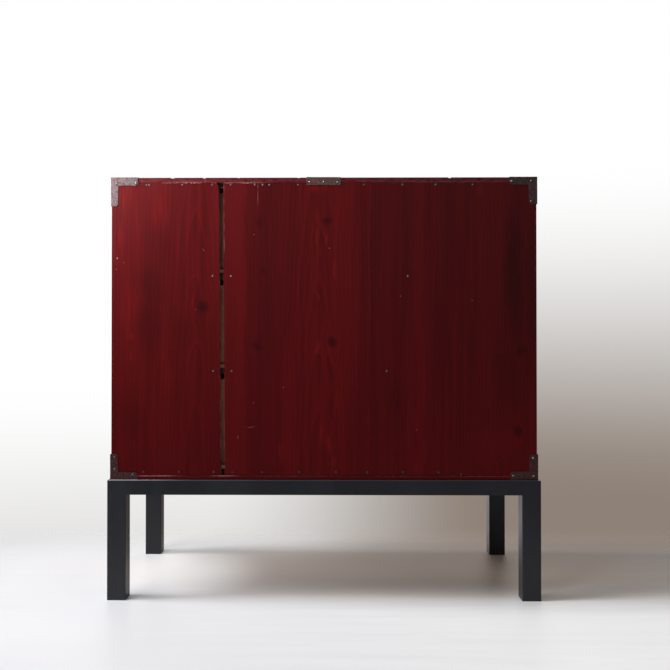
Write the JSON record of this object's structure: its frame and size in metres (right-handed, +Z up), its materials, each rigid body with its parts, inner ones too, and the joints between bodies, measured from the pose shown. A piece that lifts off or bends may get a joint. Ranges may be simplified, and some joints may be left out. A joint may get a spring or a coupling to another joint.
{
  "type": "drawer chest on stand",
  "caption": "Red lacquered drawer chest with full-width drawers, hanging bails, locks and iron corner straps, its boarded back split by a shrinkage gap, screwed onto a low black stand.",
  "frame": {"origin": "on the floor, under the middle of the overall width and depth, pulls included", "axes": "+X towards the right end of the chest as seen from its drawers, +Y towards its boarded back, +Z up"},
  "size_m": [1.034, 0.4905, 1.0127],
  "materials": {
    "lacquered_wood": "red lacquer brushed thinly over softwood, worn satin",
    "plain_wood": "bare planed softwood, darkened with age",
    "black_stand_wood": "satin black paint on hardwood",
    "forged_iron": "forged iron, dark brown patina",
    "steel_screws": "zinc-coated steel"
  },
  "bodies": {
    "case": {"stand_leg_front_left": "black_stand_wood", "stand_leg_front_right": "black_stand_wood", "stand_leg_back_left": "black_stand_wood", "stand_leg_back_right": "black_stand_wood", "stand_rail_front": "black_stand_wood", "stand_rail_back": "black_stand_wood", "stand_rail_left": "black_stand_wood", "stand_rail_right": "black_stand_wood", "stand_screws": "steel_screws", "case_top": "lacquered_wood", "case_bottom": "lacquered_wood", "case_side_left": "lacquered_wood", "case_side_right": "lacquered_wood", "partition_upper": "plain_wood", "partition_lower": "plain_wood", "back_board_narrow": "lacquered_wood", "back_board_middle": "lacquered_wood", "back_board_wide": "lacquered_wood", "corner_irons_back": "forged_iron", "corner_irons_front": "forged_iron", "top_edge_straps": "forged_iron", "iron_nails": "forged_iron", "back_board_nails": "forged_iron"},
    "drawer_upper": {"drawer_front_upper": "lacquered_wood", "drawer_side_left_upper": "plain_wood", "drawer_side_right_upper": "plain_wood", "drawer_back_upper": "plain_wood", "drawer_floor_upper": "plain_wood", "pull_posts_upper": "forged_iron", "pull_seats_upper": "forged_iron", "lock_plate_upper": "forged_iron", "lock_case_upper": "forged_iron"},
    "bail_upper_left": {"bail_upper_left": "forged_iron"},
    "bail_upper_right": {"bail_upper_right": "forged_iron"},
    "lock_bolt_upper": {"lock_bolt_upper": "forged_iron"},
    "drawer_middle": {"drawer_front_middle": "lacquered_wood", "drawer_side_left_middle": "plain_wood", "drawer_side_right_middle": "plain_wood", "drawer_back_middle": "plain_wood", "drawer_floor_middle": "plain_wood", "pull_posts_middle": "forged_iron", "pull_seats_middle": "forged_iron", "lock_plate_middle": "forged_iron", "lock_case_middle": "forged_iron"},
    "bail_middle_left": {"bail_middle_left": "forged_iron"},
    "bail_middle_right": {"bail_middle_right": "forged_iron"},
    "lock_bolt_middle": {"lock_bolt_middle": "forged_iron"},
    "drawer_lower": {"drawer_front_lower": "lacquered_wood", "drawer_side_left_lower": "plain_wood", "drawer_side_right_lower": "plain_wood", "drawer_back_lower": "plain_wood", "drawer_floor_lower": "plain_wood", "pull_posts_lower": "forged_iron", "pull_seats_lower": "forged_iron", "lock_plate_lower": "forged_iron", "lock_case_lower": "forged_iron"},
    "bail_lower_left": {"bail_lower_left": "forged_iron"},
    "bail_lower_right": {"bail_lower_right": "forged_iron"},
    "lock_bolt_lower": {"lock_bolt_lower": "forged_iron"}
  },
  "joints": [
    {"name": "drawer_upper_slide", "type": "slide", "parent": "case", "child": "drawer_upper", "axis": [0, -1, 0], "range_m": [0, 0.38]},
    {"name": "bail_upper_left_hinge", "type": "hinge", "parent": "drawer_upper", "child": "bail_upper_left", "pos_m": [-0.272, -0.23925, 0.90575], "axis": [-1, 0, 0], "range_deg": [-11, 190]},
    {"name": "bail_upper_right_hinge", "type": "hinge", "parent": "drawer_upper", "child": "bail_upper_right", "pos_m": [0.272, -0.23925, 0.90575], "axis": [-1, 0, 0], "range_deg": [-11, 190]},
    {"name": "lock_bolt_upper_slide", "type": "slide", "parent": "drawer_upper", "child": "lock_bolt_upper", "axis": [0, 0, 1], "range_m": [0, 0.008]},
    {"name": "drawer_middle_slide", "type": "slide", "parent": "case", "child": "drawer_middle", "axis": [0, -1, 0], "range_m": [0, 0.38]},
    {"name": "bail_middle_left_hinge", "type": "hinge", "parent": "drawer_middle", "child": "bail_middle_left", "pos_m": [-0.272, -0.23925, 0.68025], "axis": [-1, 0, 0], "range_deg": [-11, 190]},
    {"name": "bail_middle_right_hinge", "type": "hinge", "parent": "drawer_middle", "child": "bail_middle_right", "pos_m": [0.272, -0.23925, 0.68025], "axis": [-1, 0, 0], "range_deg": [-11, 190]},
    {"name": "lock_bolt_middle_slide", "type": "slide", "parent": "drawer_middle", "child": "lock_bolt_middle", "axis": [0, 0, 1], "range_m": [0, 0.008]},
    {"name": "drawer_lower_slide", "type": "slide", "parent": "case", "child": "drawer_lower", "axis": [0, -1, 0], "range_m": [0, 0.38]},
    {"name": "bail_lower_left_hinge", "type": "hinge", "parent": "drawer_lower", "child": "bail_lower_left", "pos_m": [-0.272, -0.23925, 0.44625], "axis": [-1, 0, 0], "range_deg": [-11, 190]},
    {"name": "bail_lower_right_hinge", "type": "hinge", "parent": "drawer_lower", "child": "bail_lower_right", "pos_m": [0.272, -0.23925, 0.44625], "axis": [-1, 0, 0], "range_deg": [-11, 190]},
    {"name": "lock_bolt_lower_slide", "type": "slide", "parent": "drawer_lower", "child": "lock_bolt_lower", "axis": [0, 0, 1], "range_m": [0, 0.008]}
  ]
}
